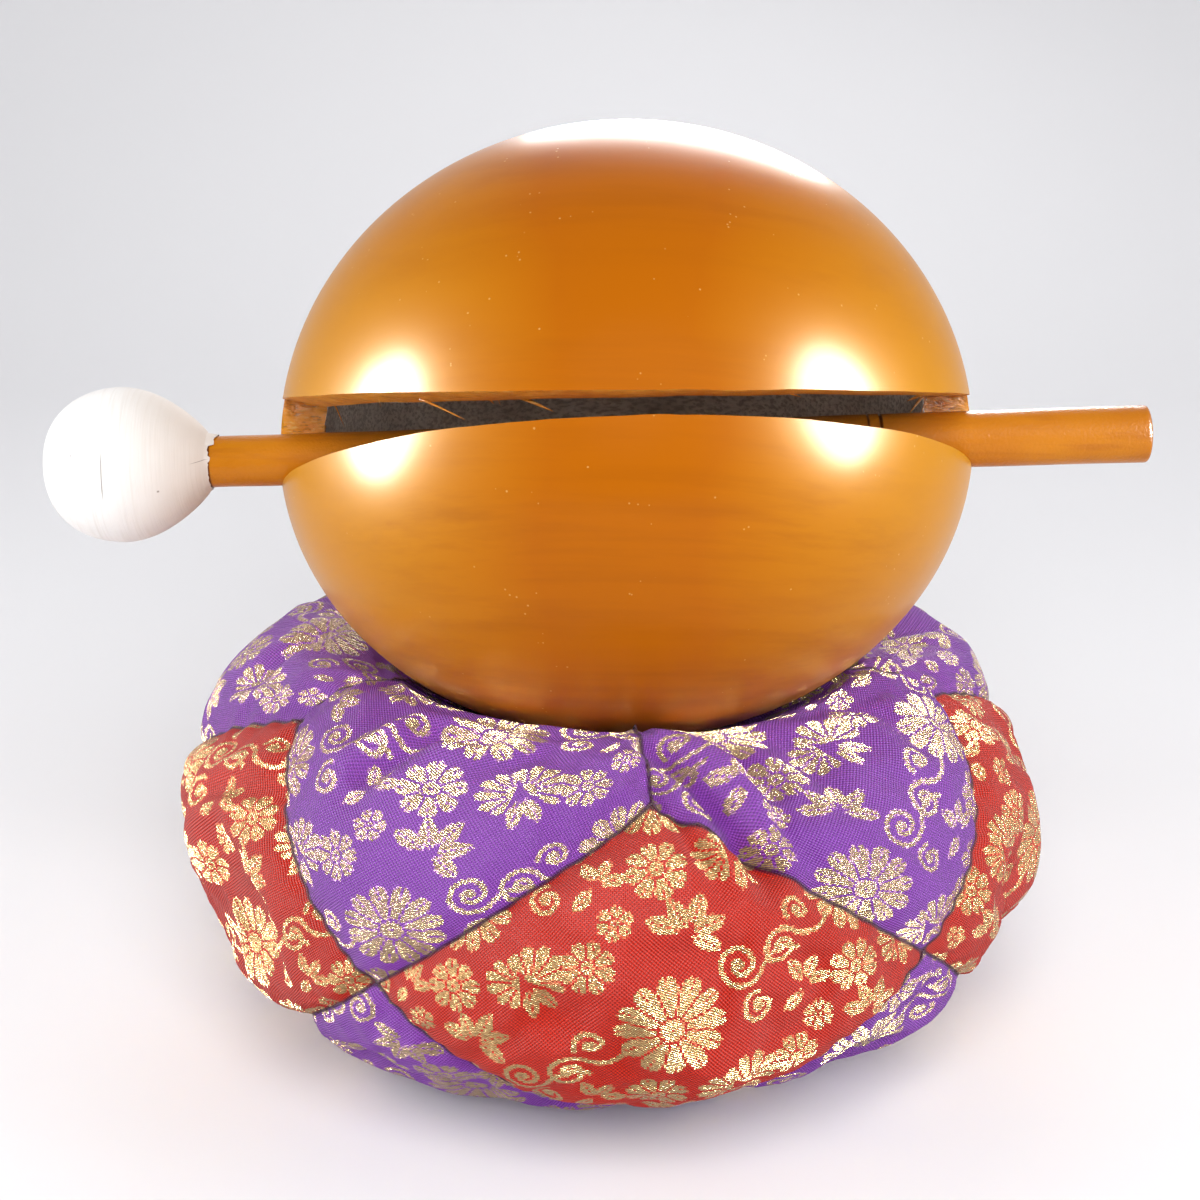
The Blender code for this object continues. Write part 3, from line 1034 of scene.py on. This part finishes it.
def cushion_shape(base, s, t, creases):
    """A point of the cover: stuffed out between the seams, drawn in along them, creased and dished."""
    near_s = min(s, 1 - s) * EDGE_LENGTH
    near_t = min(t, 1 - t) * EDGE_LENGTH
    normal = Vector((base.x / CUSHION_RADIUS**2, base.y / CUSHION_RADIUS**2, base.z / CUSHION_HALF**2))
    normal.normalize()
    pillow = (16 * s * (1 - s) * t * (1 - t)) ** 0.55
    valley = min(1.25, math.exp(-near_s / VALLEY_WIDTH) + math.exp(-near_t / VALLEY_WIDTH))
    lift = PUFF * pillow - BASE_INSET - VALLEY_DEPTH * valley
    for near, along in ((near_s, t), (near_t, s)):
        drawn = math.exp(-near / PUCKER_REACH)
        wander = saw_noise(base, 60.0, 2.0)
        phase = math.tau * (along - 0.5) * EDGE_LENGTH / PUCKER_PITCH + 4.0 * wander
        lift += PUCKER * drawn * math.cos(phase)
    lift += 0.0009 * saw_noise(base, 22.0, 6.0) + 0.0006 * saw_noise(base, 75.0, 8.0)
    for start, end, depth, width in creases:
        run = end - start
        share = min(1.0, max(0.0, (base - start).dot(run) / run.length_squared))
        off = (base - start - run * share).length / width
        fade = 1.0 - abs(2 * share - 1) ** 4 * 0.6
        lift -= depth * fade * (math.exp(-off * off) - 0.50 * math.exp(-((off - 1.9) ** 2) / 0.7))
    return base + normal * lift


def clear_of_drum(point, sink=DISH_SINK):
    """Keeps a point out of the drum's form, and lowers the cover where the drum weighs on it."""
    local = DRUM_LOCAL @ point
    value = egg_value(local, 0.0)
    reach = local.length / value
    off = (value - 1.0) * reach
    if off < DISH_REACH:
        share = max(0.0, 1 - max(off, 0.0) / DISH_REACH)
        point = point - Vector((0.0, 0.0, sink * share * share))
        local = DRUM_LOCAL @ point
        value = egg_value(local, 0.0)
    least = 1.0 + DRUM_CLEARANCE / reach
    if value < least:
        point = DRUM_STAND @ (local * (least / value))
    return point


def blown_up(cover, seams):
    """Fills the cover as cloth held at its seams, under pressure against the drum and the floor."""
    start = [v.co.copy() for v in cover.data.vertices]
    group = cover.vertex_groups.new(name="sewn")
    for number, near in enumerate(seams):
        held = max(0.0, 1.0 - near / PINNED_WIDTH)
        if held > 0:
            group.add([number], held, "REPLACE")
    drum = new_object("drum_form", rings_mesh("drum_form", egg_points(0.0, 64, 20)))
    drum.data.transform(DRUM_STAND)
    drum.modifiers.new("solid", "COLLISION")
    drum.collision.thickness_outer = DRUM_CLEARANCE
    step = cover.modifiers.new("filled", "CLOTH")
    settings = step.settings
    settings.quality = 5
    settings.mass = 0.2
    settings.vertex_group_mass = "sewn"
    settings.pin_stiffness = 1.0
    settings.tension_stiffness = settings.compression_stiffness = 30
    settings.shear_stiffness = 10
    settings.bending_stiffness = 0.4
    settings.shrink_min = -SIM_GROWTH
    settings.use_pressure = True
    settings.uniform_pressure_force = SIM_PRESSURE
    settings.effector_weights.gravity = 0
    step.collision_settings.distance_min = DRUM_CLEARANCE
    step.collision_settings.use_self_collision = False
    scene = bpy.context.scene
    for number in range(1, SIM_FRAMES + 1):
        scene.frame_set(number)
    applied(cover)
    scene.frame_set(1)
    bpy.data.objects.remove(drum)
    for vertex, before in zip(cover.data.vertices, start):
        move = vertex.co - before
        if move.length > SIM_MOST_MOVE:
            move *= SIM_MOST_MOVE / move.length
        spot = before + move
        spot.z = max(spot.z, 0.0)
        vertex.co = clear_of_drum(spot, 0.0)


def make_cushion(purple, red, thread):
    """The stuffed patchwork cover: five violet panels above, five red round it, five violet below."""
    creases = crease_lines()
    centre = Vector((0.0, 0.0, CUSHION_CENTRE))
    last = PANEL_STEPS
    known = {}
    points, faces, shades, cuts, seams = [], [], [], [], []
    chains = {}
    for number, (shade, corners) in enumerate(cushion_panels()):
        flat = [Vector((*spot, 0.0)) for spot in PANEL_CUTS[shade]]
        shift = Vector((PANEL_SHIFT[0] * number, PANEL_SHIFT[1] * number, 0.0))
        grid = {}
        for i in range(last + 1):
            for j in range(last + 1):
                s, t = i / last, j / last
                base = on_cushion(between(*corners, s, t))
                key = tuple(round(v, 6) for v in base)
                if key not in known:
                    known[key] = len(points)
                    spot = centre + cushion_shape(base, s, t, creases)
                    spot = clear_of_drum(spot)
                    spot.z = max(spot.z, 0.0)
                    points.append(spot)
                    seams.append(min(min(s, 1 - s), min(t, 1 - t)) * EDGE_LENGTH)
                grid[i, j] = (known[key], between(*flat, s, t) + shift)
        edges = [[grid[k, end][0] for k in range(last + 1)] for end in (0, last)]
        edges += [[grid[end, k][0] for k in range(last + 1)] for end in (0, last)]
        for edge in edges:
            chains[min(edge[0], edge[-1]), max(edge[0], edge[-1])] = edge
        for i in range(last):
            for j in range(last):
                loop = (grid[i, j], grid[i + 1, j], grid[i + 1, j + 1], grid[i, j + 1])
                faces.append([item[0] for item in loop])
                cuts.append([item[1] for item in loop])
                shades.append(0 if shade == "purple" else 1)
    mesh = mesh_of("cushion_cover", points, faces)
    layer = mesh.uv_layers.new(name="cut")
    spots = [spot[k] for loop in cuts for spot in loop for k in (0, 1)]
    layer.data.foreach_set("uv", spots)
    mesh.attributes.new("seam", "FLOAT", "POINT").data.foreach_set("value", seams)
    for finish in (purple, red):
        mesh.materials.append(finish)
    mesh.polygons.foreach_set("material_index", shades)
    outwards(mesh)
    cover = new_object("cushion_cover", mesh)
    blown_up(cover, seams)
    make_seams([v.co.copy() for v in cover.data.vertices], chains.values(), thread)
    fine = cover.modifiers.new("fine", "SUBSURF")
    fine.levels = fine.render_levels = 1
    applied(cover)
    cover.data.shade_smooth()
    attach(cover, "root")
    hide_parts("cushion")


def make_seams(cover_points, chains, thread):
    """The dark thread of the seams, sunk between the panels' edges and pulled in at each stitch."""
    sides, width, stitch, sunk = 6, 0.00027, 0.0034, 0.00006
    points, faces = [], []
    for chain in chains:
        spots = [cover_points[number] for number in chain]
        start, run = len(points), 0.0
        for i, spot in enumerate(spots):
            before, after = spots[max(i - 1, 0)], spots[min(i + 1, len(spots) - 1)]
            run += (spot - before).length
            way = (after - before).normalized()
            out = (spot - Vector((0.0, 0.0, CUSHION_CENTRE))).normalized()
            side = way.cross(out).normalized()
            out = side.cross(way)
            size = width * (0.80 + 0.20 * math.cos(math.tau * run / stitch))
            for k in range(sides):
                turn = math.tau * k / sides
                edge = side * math.cos(turn) + out * math.sin(turn)
                points.append(spot + edge * size - out * sunk)
        faces += tube_faces(start, sides, len(spots))
    mesh = mesh_of("seams", [Vector((p.x, p.y, max(p.z, 0.0))) for p in points], faces)
    outwards(mesh)
    made = new_object("seams", mesh)
    mesh.materials.append(thread)
    mesh.shade_smooth()
    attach(made, "root")


def thread_material():
    """Dark plum sewing thread with a twist."""
    made, tree, shader = new_material("seam_thread", Roughness=0.8, Specular_IOR_Level=0.1)
    x, y, z = separate(tree, object_point(tree))
    twist = ((x + y + z) * (math.tau / 0.0009)).sin() * 0.5 + 0.5
    shade = mix_colour(tree, twist, (0.030, 0.008, 0.022, 1), (0.110, 0.030, 0.060, 1))
    wire(tree, shader, Base_Color=shade, Normal=bump(tree, twist, 0.00010))
    return made


def area_light(name, direction, distance, size, power):
    """A soft round light in this direction from the drum."""
    data = bpy.data.lights.new(name, "AREA")
    data.shape = "DISK"
    data.size = size
    data.energy = power
    made = new_object(name, data)
    way = Vector(direction).normalized()
    made.location = DRUM_CENTRE + way * distance
    made.rotation_euler = way.to_track_quat("Z", "Y").to_euler()
    return made


def in_view(right, up, back):
    """A direction given by the camera's right, up and back, in the frame's axes."""
    cos, sin = math.cos(CAMERA_PITCH), math.sin(CAMERA_PITCH)
    return Vector((right, up * sin - back * cos, up * cos + back * sin))


def make_stage():
    """A pale floor that runs up into a backdrop, under soft light."""
    bend, depth, width, height = 0.45, 0.50, 4.0, 2.2
    steps = 16
    profile = [(-2.5, 0.0), (depth, 0.0)]
    for i in range(1, steps + 1):
        angle = math.pi / 2 * i / steps
        profile.append((depth + bend * math.sin(angle), bend * (1 - math.cos(angle))))
    profile.append((depth + bend, height))
    points = [(x, y, z) for x in (-width / 2, width / 2) for y, z in profile]
    count = len(profile)
    faces = [(i, i + 1, count + i + 1, count + i) for i in range(count - 1)]
    sweep = new_object("sweep", mesh_of("sweep", points, faces))
    paper, _, _ = new_material(
        "sweep", Roughness=0.9, Specular_IOR_Level=0.0, Base_Color=(0.825, 0.82, 0.835, 1)
    )
    sweep.data.materials.append(paper)
    sweep.data.shade_smooth()
    world = bpy.data.worlds.new("world")
    bpy.context.scene.world = world
    world.use_nodes = True
    sky = world.node_tree.nodes["Background"]
    sky.inputs["Color"].default_value = (0.95, 0.96, 1.0, 1)
    sky.inputs["Strength"].default_value = 0.30
    for side, way in (("left", in_view(-0.97, 0.10, 0.22)), ("right", in_view(0.90, 0.14, 0.42))):
        area_light(side + "_box", way, 0.62, 0.34, 1.3).visible_glossy = False
        glint = area_light(side + "_glint", way, 0.60, 0.27, 54.0)
        glint.visible_diffuse = False
        glint.data.shape = "ELLIPSE"
        glint.data.size_y = 0.37
    area_light("top_glint", in_view(0.10, 0.64, -0.77), 0.73, 0.38, 7.0).visible_diffuse = False
    area_light("top_box", in_view(0.10, 0.80, -0.60), 0.75, 0.60, 1.0).visible_glossy = False
    area_light("fill", in_view(0.05, 0.34, 0.94), 1.3, 0.9, 14.4).visible_glossy = False
    area_light("front", in_view(0.0, -0.02, 1.0), 1.25, 0.5, 2.4).visible_glossy = False
    bpy.context.scene.view_settings.view_transform = "Standard"


def main():
    camera()
    raw = raw_edge_material()
    make_drum(lacquer_material(), inside_material(), raw)
    make_handle(handle_material())
    make_head(bare_wood_material())
    make_splinters(raw)
    # Each brocade's second colour is its dark weave colour, partly painted shade.
    purple = brocade_material("brocade_purple", (0.30, 0.072, 0.49, 1), (0.085, 0.014, 0.17, 1))
    red = brocade_material("brocade_red", (0.66, 0.030, 0.014, 1), (0.19, 0.005, 0.003, 1))
    make_cushion(purple, red, thread_material())
    make_stage()


main()
